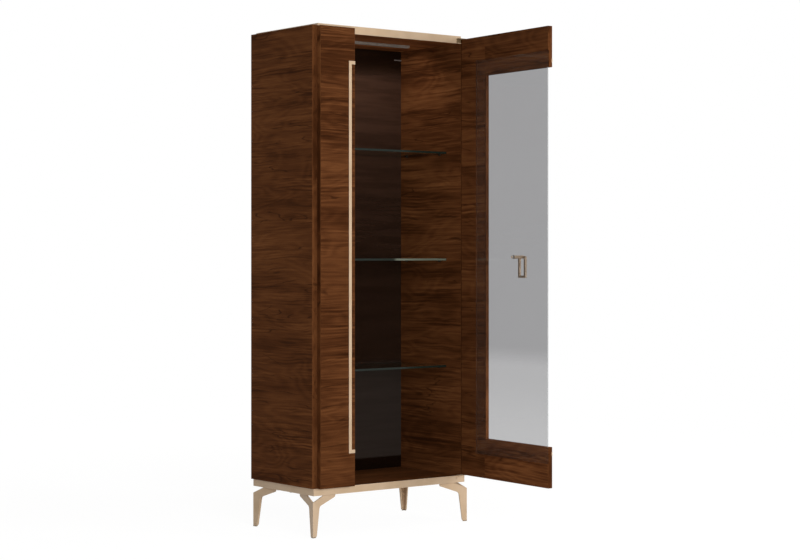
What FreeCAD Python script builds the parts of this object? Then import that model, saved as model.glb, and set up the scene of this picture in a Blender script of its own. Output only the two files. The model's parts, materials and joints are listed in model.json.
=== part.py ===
import FreeCAD, Part
import math
import os
import re

import Sketcher

# Tall display cabinet with one glass door, on a band with four folded plate legs.
# Millimetres and degrees, +Z up, front towards -Y.
# The origin is on the floor under the middle of the carcase.

sizes = {
    # Carcase
    "carcase_width": 766,
    "carcase_depth": 426,
    "side_height": 1782,
    "side_thick": 25,
    "top_thick": 22,
    "back_thick": 8,
    "back_inset": 20.5,
    "groove_depth": 8,
    "groove_play": 1,
    "cap_rise": 8,
    "cap_lip": 4,
    # Base band
    "band_height": 28,
    "rail_inset": 6.5,
    "rail_gauge": 4,
    "rail_flange": 40,
    # Legs: widths run along a flange from its fold, drops down from its head
    "leg_height": 160,
    "leg_plate": 5,
    "leg_toe_in": 11,
    "leg_side_proud": 1.5,
    "leg_front_proud": 6,
    "leg_back_inset": 18,
    "leg_foot_width": 21.5,
    "leg_foot_radius": 4,
    "leg_knee_width": 37.5,
    "leg_knee_drop": 41.5,
    "leg_knee_radius": 15,
    "leg_heel_width": 123.5,
    "leg_heel_drop": 12,
    "leg_arm_end": 127,
    "leg_arm_start": 63,
    "leg_fork_drop": 25.5,
    "glide_height": 4,
    # Fronts
    "front_drop": 2,
    "front_thick": 20,
    "front_gap": 3,
    "fixed_inset": 22.5,
    "fixed_width": 163.5,
    "batten_width": 22,
    "batten_depth": 45,
    "trim_width": 13,
    "trim_thick": 4,
    "trim_sunk": 2.5,
    "trim_margin": 20,
    # Door
    "door_open_angle": 86.5,
    "door_gap": 4,
    "door_clearance": 4,
    "hinge_inset": 14,
    "stile_width": 160,
    "stile_round": 3,
    "door_rail_height": 158,
    "glass_thick": 5,
    "glass_lap_stile": 60,
    "glass_lap_rail": 64,
    "glass_inset": 4.5,
    # Pivots
    "pivot_edge": 6,
    "pivot_back": 8,
    "pin_diameter": 5,
    "pin_length": 12,
    "pin_play": 0.05,
    "pin_end_play": 0.3,
    "bush_diameter": 8,
    "bush_floor": 2,
    "bracket_gap": 1,
    "bracket_thick": 2.5,
    "bracket_nose": 7,
    "leaf_reach": 28,
    "leaf_width": 21,
    "leaf_height": 17,
    "leaf_thick": 2,
    # Drop pull
    "pull_place": 339,
    "post_reach": 45,
    "post_diameter": 13,
    "post_chamfer": 1,
    "post_foot_diameter": 15,
    "post_foot_thick": 3,
    "loop_width": 45,
    "loop_height": 86,
    "loop_bar": 9,
    "loop_thick": 8,
    "loop_round": 2,
    "loop_play": 0.05,
    "washer_diameter": 12,
    "washer_thick": 1,
    "screw_diameter": 4,
    "screw_depth": 14,
    "screw_head_diameter": 7,
    "screw_head_thick": 2.5,
    "glass_hole": 6,
    # Shelves
    "shelf_thick": 8,
    "shelf_pitch": 438.5,
    "shelf_set": 88,
    "shelf_play": 2,
    "shelf_corner": 6,
    "peg_diameter": 6,
    "peg_hole": 8,
    "peg_reach": 10,
    "peg_edge": 45,
    # Lamp bar
    "lamp_length": 474,
    "lamp_depth": 20,
    "lamp_height": 10,
    "lamp_wall": 1.5,
    "lamp_set": 195,
    "diffuser_thick": 4,
    # Corner plates on the back panel
    "plate_width": 37,
    "plate_height": 5,
    "plate_thick": 2,
    "plate_drop": 34,
    # Fixings
    "tongue_thick": 8,
    "tongue_width": 60,
    "tongue_in_side": 15,
    "tongue_in_top": 25,
    "tongue_edge": 50,
    "door_tongue_thick": 5,
    "door_tongue_width": 90,
    "door_tongue_depth": 25,
    "base_screw_diameter": 5,
    "base_screw_bite": 30,
    "base_screw_head": 10,
    "base_screw_head_thick": 3,
    "base_screw_edge": 10.5,
    "base_screw_spread": 45,
    # Cutting tools run past what they cut by this much
    "overrun": 5,
}

# Levels, faces and spans worked out from the sizes
places = {
    "half_width": "carcase_width / 2",
    "inner_half": "carcase_width / 2 - side_thick",
    "front": "-carcase_depth / 2",
    "rear": "carcase_depth / 2",
    "back_face": "carcase_depth / 2 - back_inset - back_thick",
    "deck": "leg_height + band_height",
    "side_top": "leg_height + band_height + side_height",
    "ceiling": "leg_height + band_height + side_height - top_thick",
    "front_height": "side_height - front_drop",
    "door_deck": "leg_height + band_height + door_clearance",
    "door_height": "side_height - front_drop - 2 * door_clearance",
    "top_front": "-carcase_depth / 2 + cap_lip",
    "top_depth": "carcase_depth - cap_lip - back_inset - back_thick",
    "flange_top": "leg_height + rail_gauge",
    "rail_half": "carcase_width / 2 - rail_inset",
    "rail_rear": "carcase_depth / 2 - rail_inset",
    "leg_half_angle": "45 - leg_toe_in",
    "pivot_x": "carcase_width / 2 - hinge_inset - pivot_edge",
    "pivot_y": "-carcase_depth / 2 - front_gap - pivot_back",
    "door_width": "carcase_width - hinge_inset - fixed_inset - fixed_width - door_gap",
    "free_edge": "pivot_edge - door_width",
    "window_edge": "pivot_edge - stile_width",
    "glass_edge": "pivot_edge - stile_width + glass_lap_stile",
    "glass_foot": "door_rail_height - glass_lap_rail",
    "glass_head": "door_height - door_rail_height + glass_lap_rail",
    "trim_foot": "door_clearance + door_rail_height - trim_margin - trim_width",
    "trim_head": "front_height - door_clearance - door_rail_height + trim_margin + trim_width",
    "bush_length": "pin_length + pin_end_play + bush_floor",
    "shelf_half": "carcase_width / 2 - side_thick - shelf_play",
    "shelf_front": "-carcase_depth / 2 + shelf_set",
    "shelf_depth": "carcase_depth - shelf_set - back_inset - back_thick - shelf_play",
    "middle_shelf": "leg_height + band_height + (side_height - top_thick - shelf_thick) / 2",
}

doc = FreeCAD.newDocument("DisplayCabinet")
pieces = []
cuts = []
tolerance = 1e-6


def formula(text, own_cells=()):
    # Puts the sheet's name before each size or place in a formula, except the sheet's own cells
    def with_sheet(match):
        word = match.group(0)
        if word in own_cells:
            return word
        if word in sizes:
            return "Sizes." + word
        if word in places:
            return "Places." + word
        return word

    return re.sub(r"[a-z][a-z_]*", with_sheet, text)


def fill_sheet(name, cells):
    sheet = doc.addObject("Spreadsheet::Sheet", name)
    for row, (alias, content) in enumerate(cells.items(), start=1):
        sheet.set(f"A{row}", alias)
        sheet.set(f"B{row}", content)
        sheet.setAlias(f"B{row}", alias)
    return sheet


def bind(thing, **settings):
    for name, text in settings.items():
        thing.setExpression(name, formula(text))


def pose(x="0", y="0", z="0", axis="0; 0; 1", turn="0"):
    return f"placement(vector({x}; {y}; {z}); rotation(vector({axis}); {turn}))"


def hand_in(thing, label, where=None):
    thing.Label = label
    if where:
        bind(thing, Placement=where)
    pieces.append(thing)
    return thing


# Primitives and booleans


def box(name, spans, corner):
    solid = doc.addObject("Part::Box", name)
    length, width, height = spans
    bind(solid, Length=length, Width=width, Height=height, Placement=pose(*corner))
    return solid


turns_to_axis = {
    "x": ("0; 1; 0", "90"),
    "y": ("1; 0; 0", "-90"),
    "z": ("0; 0; 1", "0"),
}


def rod(name, diameter, length, start, along):
    solid = doc.addObject("Part::Cylinder", name)
    axis, turn = turns_to_axis[along]
    bind(solid, Radius=f"({diameter}) / 2", Height=length, Placement=pose(*start, axis, turn))
    return solid


def joined(name, solids):
    union = doc.addObject("Part::MultiFuse", name)
    union.Shapes = solids
    return union


def cut(name, base, tools):
    remainder = doc.addObject("Part::Cut", name)
    remainder.Base = base
    remainder.Tool = tools[0] if len(tools) == 1 else joined(name + "Tools", tools)
    return remainder


def group(name, solids):
    bundle = doc.addObject("Part::Compound", name)
    bundle.Links = solids
    return bundle


def mirror_image(name, source):
    image = doc.addObject("Part::Mirroring", name)
    image.Source = source
    image.Normal = FreeCAD.Vector(1, 0, 0)
    return image


# Bodies with sketches


def new_body(name):
    return doc.addObject("PartDesign::Body", name)


def origin_plane(body, role):
    return next(feature for feature in body.Origin.OriginFeatures if feature.Role == role)


def new_sketch(body, name, role, lift="0", turn="0"):
    # lift moves the sketch along its normal, turn swings it about its own upright axis
    sketch = body.newObject("Sketcher::SketchObject", name)
    sketch.AttachmentSupport = [(origin_plane(body, role), "")]
    sketch.MapMode = "FlatFace"
    bind(sketch, AttachmentOffset=pose("0", "0", lift, "0; 1; 0", turn))
    return sketch


def pin_point(sketch, geometry, point, start, target):
    # Ties one point to the sketch's axes at a place given by two formulas
    guesses = (start.x, start.y)
    for kind, guess, text, axis in zip(("DistanceX", "DistanceY"), guesses, target, (-2, -1)):
        if text == "0":
            sketch.addConstraint(Sketcher.Constraint("PointOnObject", geometry, point, axis))
        else:
            tie = sketch.addConstraint(Sketcher.Constraint(kind, -1, 1, geometry, point, guess))
            sketch.setExpression(f"Constraints[{tie}]", formula(text))


def add_outline(sketch, points):
    # Draws a unit polygon and lets the constraints carry its corners to their places
    count = len(points)
    first = sketch.GeometryCount
    angles = [math.tau * index / count for index in range(count)]
    corners = [FreeCAD.Vector(math.cos(angle), math.sin(angle), 0) for angle in angles]
    for index, corner in enumerate(corners):
        sketch.addGeometry(Part.LineSegment(corner, corners[(index + 1) % count]), False)
    for index in range(count):
        following = first + (index + 1) % count
        sketch.addConstraint(Sketcher.Constraint("Coincident", first + index, 2, following, 1))
    for index, target in enumerate(points):
        pin_point(sketch, first + index, 1, corners[index], target)


def add_circle(sketch, centre, diameter):
    start = FreeCAD.Vector(1, 1, 0)
    geometry = sketch.addGeometry(Part.Circle(start, FreeCAD.Vector(0, 0, 1), 1), False)
    pin_point(sketch, geometry, 3, start, centre)
    tie = sketch.addConstraint(Sketcher.Constraint("Diameter", geometry, 2))
    sketch.setExpression(f"Constraints[{tie}]", formula(diameter))


def rectangle(low, high):
    return [low, (high[0], low[1]), high, (low[0], high[1])]


def pad(body, name, sketch, length, backwards=False, both_ways=False):
    feature = body.newObject("PartDesign::Pad", name)
    feature.Profile = sketch
    feature.Reversed = backwards
    feature.Midplane = both_ways
    bind(feature, Length=length)
    return feature


def pocket(body, name, sketch, depth, backwards=False, both_ways=False):
    feature = body.newObject("PartDesign::Pocket", name)
    feature.Profile = sketch
    feature.Reversed = backwards
    feature.Midplane = both_ways
    bind(feature, Length=depth)
    cuts.append((feature, feature.BaseFeature))
    return feature


def revolve(body, name, sketch):
    feature = body.newObject("PartDesign::Revolution", name)
    feature.Profile = sketch
    feature.ReferenceAxis = (sketch, ["V_Axis"])
    feature.Angle = 360
    return feature


def round_edges(body, name, base, radius, wanted):
    # Rounds the edges of the base feature that the test picks out
    doc.recompute()
    edges = [f"Edge{n}" for n, edge in enumerate(base.Shape.Edges, start=1) if wanted(edge)]
    feature = body.newObject("PartDesign::Fillet", name)
    feature.Base = (base, edges)
    bind(feature, Radius=radius)
    return feature


def same(length, other):
    return math.isclose(length, other, abs_tol=tolerance)


def is_upright(edge):
    ends = edge.BoundBox
    return ends.ZLength > 0 and same(ends.XLength + ends.YLength, 0)


def is_level_at(edge, height):
    ends = edge.BoundBox
    return same(ends.ZMin, height) and same(ends.ZLength, 0)


sizes_sheet = fill_sheet("Sizes", {alias: str(number) for alias, number in sizes.items()})
fill_sheet("Places", {alias: "=" + formula(text, places) for alias, text in places.items()})
doc.recompute()

# Fixings of the carcase, which also cut their own holes

top_tongues = {"left": [], "right": []}
base_screws = {"left": [], "right": []}
pegs = {"left": [], "right": []}
tongue_shares = (-1, 0, 1)
screw_shares = (-1, 1)
left_of = {"left": "-", "right": ""}

for side in ("left", "right"):
    for count, share in enumerate(tongue_shares):
        start = "-inner_half - tongue_in_side" if side == "left" else "inner_half - tongue_in_top"
        middle = f"top_front + top_depth / 2 + {share} * (top_depth / 2 - tongue_edge)"
        height = "(ceiling + side_top) / 2"
        top_tongues[side].append(
            box(
                f"TopTongue_{side}{count}",
                ("tongue_in_side + tongue_in_top", "tongue_width", "tongue_thick"),
                (start, f"{middle} - tongue_width / 2", f"{height} - tongue_thick / 2"),
            )
        )
    for count, share in enumerate(screw_shares):
        foot = (
            f"{left_of[side]}(rail_half - base_screw_edge)",
            f"{share} * base_screw_spread",
            "leg_height",
        )
        shank = rod(
            f"BaseShank_{side}{count}",
            "base_screw_diameter",
            "band_height + base_screw_bite",
            foot,
            "z",
        )
        head = rod(
            f"BaseHead_{side}{count}",
            "base_screw_head",
            "base_screw_head_thick",
            (foot[0], foot[1], "leg_height - base_screw_head_thick"),
            "z",
        )
        base_screws[side].append(joined(f"BaseScrew_{side}{count}", [shank, head]))

shelf_levels = {
    "shelf_bottom": "middle_shelf - shelf_pitch",
    "shelf_middle": "middle_shelf",
    "shelf_top": "middle_shelf + shelf_pitch",
}
peg_rows = ("shelf_front + peg_edge", "shelf_front + shelf_depth - peg_edge")

for side in ("left", "right"):
    for shelf, level in shelf_levels.items():
        for count, row in enumerate(peg_rows):
            start = "-inner_half - peg_hole" if side == "left" else "inner_half - peg_reach"
            pegs[side].append(
                rod(
                    f"Peg_{shelf}_{side}{count}",
                    "peg_diameter",
                    "peg_hole + peg_reach",
                    (start, row, f"{level} - peg_diameter / 2"),
                    "x",
                )
            )

hand_in(group("TopTongues", top_tongues["left"] + top_tongues["right"]), "top_tongues")
hand_in(group("BaseScrews", base_screws["left"] + base_screws["right"]), "base_screws")
hand_in(group("ShelfPegs", pegs["left"] + pegs["right"]), "shelf_pegs")

# Side panels, grooved for the back panel

side_board = box(
    "SideBoard",
    ("side_thick", "carcase_depth", "side_height"),
    ("-half_width", "front", "deck"),
)
side_groove = box(
    "SideGroove",
    ("groove_depth + overrun", "back_thick", "side_height + 2 * overrun"),
    ("-inner_half - groove_depth", "back_face", "deck - overrun"),
)
left_tools = [side_groove] + top_tongues["left"] + base_screws["left"] + pegs["left"]
left_side = hand_in(cut("LeftSide", side_board, left_tools), "left_side_panel")
hand_in(mirror_image("RightSide", left_side), "right_side_panel")

# Top, floor and back panels

top_board = box(
    "TopBoard",
    ("2 * inner_half", "top_depth", "top_thick"),
    ("-inner_half", "top_front", "ceiling"),
)
hand_in(cut("TopPanel", top_board, top_tongues["left"] + top_tongues["right"]), "top_panel")

floor_board = box(
    "FloorBoard",
    ("2 * (rail_half - rail_gauge)", "back_face - front - rail_gauge", "band_height - rail_gauge"),
    ("-(rail_half - rail_gauge)", "front + rail_gauge", "flange_top"),
)
hand_in(cut("FloorPanel", floor_board, base_screws["left"] + base_screws["right"]), "floor_panel")

back_board = box(
    "BackPanel",
    ("2 * (inner_half + groove_depth - groove_play)", "back_thick", "side_top - flange_top"),
    ("-(inner_half + groove_depth - groove_play)", "back_face", "flange_top"),
)
hand_in(back_board, "back_panel")

# Cap with its front lip

cap = new_body("Cap")
cap_section = new_sketch(cap, "CapSection", "YZ_Plane")
add_outline(
    cap_section,
    [
        ("0", "0"),
        ("cap_lip", "0"),
        ("cap_lip", "top_thick"),
        ("carcase_depth", "top_thick"),
        ("carcase_depth", "top_thick + cap_rise"),
        ("0", "top_thick + cap_rise"),
    ],
)
pad(cap, "CapSheet", cap_section, "2 * inner_half")
hand_in(cap, "top_cap", pose("-inner_half", "front", "ceiling"))

# Base band: four mitred angle rails


def base_rail(name, length):
    body = new_body(name)
    section = new_sketch(body, name + "Section", "YZ_Plane")
    add_outline(
        section,
        [
            ("0", "0"),
            ("rail_flange", "0"),
            ("rail_flange", "rail_gauge"),
            ("rail_gauge", "rail_gauge"),
            ("rail_gauge", "band_height"),
            ("0", "band_height"),
        ],
    )
    pad(body, name + "Angle", section, length)
    mitres = new_sketch(body, name + "Mitres", "XY_Plane")
    reach = "(rail_flange + overrun)"
    add_outline(mitres, [("0", "0"), (reach, reach), ("0", reach)])
    add_outline(mitres, [(length, "0"), (length, reach), (f"{length} - {reach}", reach)])
    pocket(body, name + "MitreCut", mitres, "band_height + overrun", backwards=True)
    return body


long_rail = "2 * rail_half"
short_rail = "(rail_rear - front)"
hand_in(base_rail("FrontRail", long_rail), "base_rail_front", pose("-rail_half", "front", "leg_height"))
hand_in(
    base_rail("BackRail", long_rail),
    "base_rail_back",
    pose("rail_half", "rail_rear", "leg_height", turn="180"),
)
side_rails = {
    "left": pose("-rail_half", "rail_rear", "leg_height", turn="-90"),
    "right": pose("rail_half", "front", "leg_height", turn="90"),
}
for side, where in side_rails.items():
    rail = base_rail(side.capitalize() + "Rail", short_rail)
    bind(rail, Placement=where)
    hand_in(cut(side.capitalize() + "RailDrilled", rail, base_screws[side]), "base_rail_" + side)

# Legs: a plate folded about its outer corner, with a forked head and a tapered shaft.
# Each is drawn with its fold upright at the origin and its hollow towards +Y.


def folded_leg(name):
    body = new_body(name)
    flange = new_sketch(body, name + "Flange", "XZ_Plane", turn="90 - leg_half_angle")
    add_outline(
        flange,
        [
            ("0", "glide_height"),
            ("leg_foot_width", "glide_height"),
            ("leg_knee_width", "leg_height - leg_knee_drop"),
            ("leg_heel_width", "leg_height - leg_heel_drop"),
            ("leg_arm_end", "leg_height"),
            ("leg_arm_start", "leg_height"),
            ("0", "leg_height - leg_fork_drop"),
        ],
    )
    plate = pad(body, name + "Plate", flange, "leg_plate", backwards=True)
    knee_level = sizes_sheet.leg_height - sizes_sheet.leg_knee_drop
    knee = round_edges(
        body, name + "Knee", plate, "leg_knee_radius", lambda edge: is_level_at(edge, knee_level)
    )
    foot_level = sizes_sheet.glide_height
    foot_corner = sizes_sheet.leg_foot_width
    toe = round_edges(
        body,
        name + "Toe",
        knee,
        "leg_foot_radius",
        lambda edge: is_level_at(edge, foot_level)
        and same(edge.Length, sizes_sheet.leg_plate)
        and edge.CenterOfMass.Length > foot_corner / 2,
    )
    fold_line = new_sketch(body, name + "FoldLine", "XY_Plane")
    add_outline(fold_line, rectangle(("-leg_plate", "-leg_plate"), ("0", "leg_arm_start")))
    pocket(body, name + "Bevel", fold_line, "leg_height + overrun", backwards=True)
    fold = body.newObject("PartDesign::Mirrored", name + "Fold")
    fold.TransformMode = "Whole shape"
    fold.MirrorPlane = (origin_plane(body, "YZ_Plane"), [""])
    fold.Originals = [toe]
    body.Tip = fold
    return body


def foot_glide(name):
    body = new_body(name)
    outline = new_sketch(body, name + "Outline", "XY_Plane")
    reach = "(leg_foot_width - leg_foot_radius)"
    tip = (f"{reach} * sin(leg_half_angle)", f"{reach} * cos(leg_half_angle)")
    heel = (
        f"{reach} * sin(leg_half_angle) - leg_plate * cos(leg_half_angle)",
        f"{reach} * cos(leg_half_angle) + leg_plate * sin(leg_half_angle)",
    )
    hollow = ("0", "leg_plate / sin(leg_half_angle)")
    add_outline(
        outline,
        [
            ("0", "0"),
            tip,
            heel,
            hollow,
            (f"-({heel[0]})", heel[1]),
            (f"-({tip[0]})", tip[1]),
        ],
    )
    pad(body, name + "Pad", outline, "glide_height")
    return body


leg_side = "half_width + leg_side_proud"
leg_corners = {
    "front_left": (f"-({leg_side})", "front - leg_front_proud", "-45"),
    "front_right": (leg_side, "front - leg_front_proud", "45"),
    "back_right": (leg_side, "rear - leg_back_inset", "135"),
    "back_left": (f"-({leg_side})", "rear - leg_back_inset", "-135"),
}
glides = []
for corner, (across, along, turn) in leg_corners.items():
    standing = pose(across, along, turn=turn)
    hand_in(folded_leg("Leg_" + corner), "leg_" + corner, standing)
    glide = foot_glide("Glide_" + corner)
    bind(glide, Placement=standing)
    glides.append(glide)
hand_in(group("FootGlides", glides), "foot_glides")

# Shelves


def shelf_plate(name, level):
    body = new_body(name)
    outline = new_sketch(body, name + "Outline", "XY_Plane")
    add_outline(outline, rectangle(("-shelf_half", "0"), ("shelf_half", "shelf_depth")))
    plate = pad(body, name + "Plate", outline, "shelf_thick")
    round_edges(body, name + "Corners", plate, "shelf_corner", is_upright)
    hand_in(body, name, pose("0", "shelf_front", level))


for shelf, level in shelf_levels.items():
    shelf_plate(shelf, level)

# Lamp bar under the top panel

lamp = new_body("LampChannel")
lamp_section = new_sketch(lamp, "LampSection", "YZ_Plane")
add_outline(
    lamp_section,
    [
        ("0", "0"),
        ("lamp_wall", "0"),
        ("lamp_wall", "lamp_height - lamp_wall"),
        ("lamp_depth - lamp_wall", "lamp_height - lamp_wall"),
        ("lamp_depth - lamp_wall", "0"),
        ("lamp_depth", "0"),
        ("lamp_depth", "lamp_height"),
        ("0", "lamp_height"),
    ],
)
pad(lamp, "LampExtrusion", lamp_section, "lamp_length")
lamp_front = "front + lamp_set - lamp_depth / 2"
hand_in(lamp, "lamp_channel", pose("-lamp_length / 2", lamp_front, "ceiling - lamp_height"))

lamp_diffuser = box(
    "LampDiffuser",
    ("lamp_length", "lamp_depth - 2 * lamp_wall", "diffuser_thick"),
    ("-lamp_length / 2", f"{lamp_front} + lamp_wall", "ceiling - lamp_height"),
)
hand_in(lamp_diffuser, "lamp_diffuser")

# Small plates in the upper corners of the back panel

corner_plates = [
    box(
        f"CornerPlate{count}",
        ("plate_width", "plate_thick", "plate_height"),
        (across, "back_face - plate_thick", "ceiling - plate_drop - plate_height"),
    )
    for count, across in enumerate(("-inner_half", "inner_half - plate_width"))
]
hand_in(group("CornerPlates", corner_plates), "corner_plates")

# Fixed front panel, its batten and its trim


def bracket_outline(bar_outer, bar_inner, ends, foot="trim_foot", head="trim_head"):
    # The open bracket of trim that frames the window, drawn from its foot
    return [
        (bar_outer, foot),
        (ends, foot),
        (ends, f"{foot} + trim_width"),
        (bar_inner, f"{foot} + trim_width"),
        (bar_inner, f"{head} - trim_width"),
        (ends, f"{head} - trim_width"),
        (ends, head),
        (bar_outer, head),
    ]


fixed_bar_inner = "fixed_width + door_gap - trim_margin"
fixed_bar_outer = f"{fixed_bar_inner} - trim_width"
fixed_thick = "front_gap + front_thick"
fixed_corner = pose("-half_width + fixed_inset", "front", "deck")

fixed = new_body("FixedPanel")
fixed_outline = new_sketch(fixed, "FixedOutline", "XZ_Plane")
add_outline(fixed_outline, rectangle(("0", "0"), ("fixed_width", "front_height")))
pad(fixed, "FixedBoard", fixed_outline, fixed_thick)
fixed_groove = new_sketch(fixed, "FixedGroove", "XZ_Plane", lift=fixed_thick)
add_outline(fixed_groove, bracket_outline(fixed_bar_outer, fixed_bar_inner, "fixed_width + overrun"))
pocket(fixed, "FixedGrooveCut", fixed_groove, "trim_sunk")
hand_in(fixed, "fixed_panel", fixed_corner)

fixed_trim = new_body("FixedTrim")
fixed_trim_outline = new_sketch(
    fixed_trim, "FixedTrimOutline", "XZ_Plane", lift=f"{fixed_thick} - trim_sunk"
)
add_outline(fixed_trim_outline, bracket_outline(fixed_bar_outer, fixed_bar_inner, "fixed_width"))
pad(fixed_trim, "FixedTrimBar", fixed_trim_outline, "trim_thick")
hand_in(fixed_trim, "fixed_panel_trim", fixed_corner)

batten = box(
    "FixedBatten",
    ("batten_width", "batten_depth", "ceiling - deck"),
    ("-inner_half", "front", "deck"),
)
hand_in(batten, "fixed_panel_batten")

# Door: drawn closed with its pivot axis on Z and its foot at zero, then swung open

door_swing = pose("pivot_x", "pivot_y", "door_deck", turn="door_open_angle")
inner_lift = "-pivot_back"
outer_lift = "front_thick - pivot_back"
door_bar_inner = "window_edge + trim_margin"
door_bar_outer = "window_edge + trim_margin + trim_width"
door_bar_ends = ("trim_foot - door_clearance", "trim_head - door_clearance")

door_rails = {
    "bottom": ("0", "door_rail_height"),
    "top": ("door_height - door_rail_height", "door_height"),
}
door_tongues = [
    box(
        f"DoorTongue_{rail}",
        ("2 * door_tongue_depth", "door_tongue_thick", "door_tongue_width"),
        (
            "window_edge - door_tongue_depth",
            "pivot_back - glass_thick / 2 - front_thick / 2 - door_tongue_thick / 2",
            f"({foot} + {head}) / 2 - door_tongue_width / 2",
        ),
    )
    for rail, (foot, head) in door_rails.items()
]
hand_in(group("DoorTongues", door_tongues), "door_tongues", door_swing)


def door_board(name, low, high):
    # One board of the frame, rebated for the glass inside and grooved for the trim outside
    body = new_body(name)
    outline = new_sketch(body, name + "Outline", "XZ_Plane", lift=inner_lift)
    add_outline(outline, rectangle(low, high))
    pad(body, name + "Board", outline, "front_thick")
    rebate = new_sketch(body, name + "Rebate", "XZ_Plane", lift=inner_lift)
    add_outline(rebate, rectangle(("free_edge - overrun", "glass_foot"), ("glass_edge", "glass_head")))
    pocket(body, name + "RebateCut", rebate, "glass_thick", backwards=True)
    groove = new_sketch(body, name + "Groove", "XZ_Plane", lift=outer_lift)
    bracket = bracket_outline(door_bar_outer, door_bar_inner, "free_edge - overrun", *door_bar_ends)
    add_outline(groove, bracket)
    grooved = pocket(body, name + "GrooveCut", groove, "trim_sunk")
    return body, grooved


def is_hinge_corner(edge):
    middle = edge.CenterOfMass
    at_edge = same(middle.x, sizes_sheet.pivot_edge) and same(middle.y, sizes_sheet.pivot_back)
    return is_upright(edge) and at_edge


stile, stile_grooved = door_board("Stile", ("window_edge", "0"), ("pivot_edge", "door_height"))
round_edges(stile, "StileCorner", stile_grooved, "stile_round", is_hinge_corner)
bush_holes = [
    rod("BushHoleBottom", "bush_diameter", "bush_length", ("0", "0", "0"), "z"),
    rod("BushHoleTop", "bush_diameter", "bush_length", ("0", "0", "door_height - bush_length"), "z"),
]
hand_in(cut("DoorStile", stile, door_tongues + bush_holes), "door_stile", door_swing)

for rail, (foot, head) in door_rails.items():
    board, _ = door_board(rail.capitalize() + "DoorRail", ("free_edge", foot), ("window_edge", head))
    mortised = cut(rail.capitalize() + "DoorRailMortised", board, door_tongues)
    hand_in(mortised, f"door_{rail}_rail", door_swing)

door_trim = new_body("DoorTrim")
door_trim_outline = new_sketch(
    door_trim, "DoorTrimOutline", "XZ_Plane", lift=f"{outer_lift} - trim_sunk"
)
add_outline(door_trim_outline, bracket_outline(door_bar_outer, door_bar_inner, "free_edge", *door_bar_ends))
pad(door_trim, "DoorTrimBar", door_trim_outline, "trim_thick")
hand_in(door_trim, "door_trim", door_swing)

pane = box(
    "GlassPane",
    ("glass_edge - free_edge - glass_inset", "glass_thick", "glass_head - glass_foot"),
    ("free_edge + glass_inset", "pivot_back - glass_thick", "glass_foot"),
)
pull_hole = rod(
    "PullHole",
    "glass_hole",
    "glass_thick + 2 * overrun",
    ("pivot_edge - pull_place", "pivot_back - glass_thick - overrun", "door_height / 2"),
    "y",
)
hand_in(cut("DoorGlass", pane, [pull_hole]), "door_glass", door_swing)

# Pivots: a bush in each end of the stile, turning on the pins of two angle brackets


def pivot_bush(name):
    body = new_body(name)
    section = new_sketch(body, name + "Section", "XZ_Plane")
    bore = "pin_diameter / 2 + pin_play"
    add_outline(
        section,
        [
            (bore, "0"),
            ("bush_diameter / 2", "0"),
            ("bush_diameter / 2", "bush_length"),
            ("0", "bush_length"),
            ("0", "pin_length + pin_end_play"),
            (bore, "pin_length + pin_end_play"),
        ],
    )
    revolve(body, name + "Turned", section)
    return body


hand_in(pivot_bush("BushBottom"), "pivot_bush_bottom", door_swing)
upside_down = pose("0", "0", "door_height", "1; 0; 0", "180")
hand_in(pivot_bush("BushTop"), "pivot_bush_top", f"{door_swing} * {upside_down}")


def pivot_bracket(name, plate_foot, leaf_foot, pin_up):
    # Drawn about the pivot axis, with the end of the door at zero
    body = new_body(name)
    plate = new_sketch(body, name + "Plate", "XY_Plane", lift=plate_foot)
    wall = "(front_gap + pivot_back)"
    add_outline(plate, rectangle(("-leaf_reach", "-bracket_nose"), ("bracket_nose", wall)))
    pad(body, name + "PlatePad", plate, "bracket_thick")
    leaf = new_sketch(body, name + "Leaf", "XZ_Plane", lift=f"-{wall}")
    leaf_head = f"{leaf_foot} + leaf_height"
    add_outline(leaf, rectangle(("-leaf_reach", leaf_foot), ("leaf_width - leaf_reach", leaf_head)))
    pad(body, name + "LeafPad", leaf, "leaf_thick")
    pin = new_sketch(body, name + "Pin", "XY_Plane", lift=plate_foot)
    add_circle(pin, ("0", "0"), "pin_diameter")
    if pin_up:
        pad(body, name + "PinPad", pin, "bracket_thick + bracket_gap + pin_length")
    else:
        pad(body, name + "PinPad", pin, "bracket_gap + pin_length", backwards=True)
    return body


top_bracket = pivot_bracket(
    "TopBracket", "bracket_gap", "bracket_gap + bracket_thick - leaf_height", pin_up=False
)
hand_in(top_bracket, "pivot_bracket_top", pose("pivot_x", "pivot_y", "door_deck + door_height"))
bottom_bracket = pivot_bracket(
    "BottomBracket", "-bracket_gap - bracket_thick", "-bracket_gap - leaf_height", pin_up=True
)
hand_in(bottom_bracket, "pivot_bracket_bottom", pose("pivot_x", "pivot_y", "door_deck"))

# Drop pull: drawn on the glass's outer face, with +Z outwards and +Y up

pull_seat = pose(
    "pivot_edge - pull_place", "pivot_back - glass_thick", "door_height / 2", "1; 0; 0", "90"
)
pull_swing = f"{door_swing} * {pull_seat}"
screw_seat = "glass_thick + washer_thick"

screw = new_body("PullScrew")
screw_section = new_sketch(screw, "PullScrewSection", "XZ_Plane")
add_outline(
    screw_section,
    [
        ("0", f"-({screw_seat}) - screw_head_thick"),
        ("screw_head_diameter / 2", f"-({screw_seat}) - screw_head_thick"),
        ("screw_head_diameter / 2", f"-({screw_seat})"),
        ("screw_diameter / 2", f"-({screw_seat})"),
        ("screw_diameter / 2", "screw_depth"),
        ("0", "screw_depth"),
    ],
)
revolve(screw, "PullScrewTurned", screw_section)
hand_in(screw, "pull_screw", pull_swing)

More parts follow.
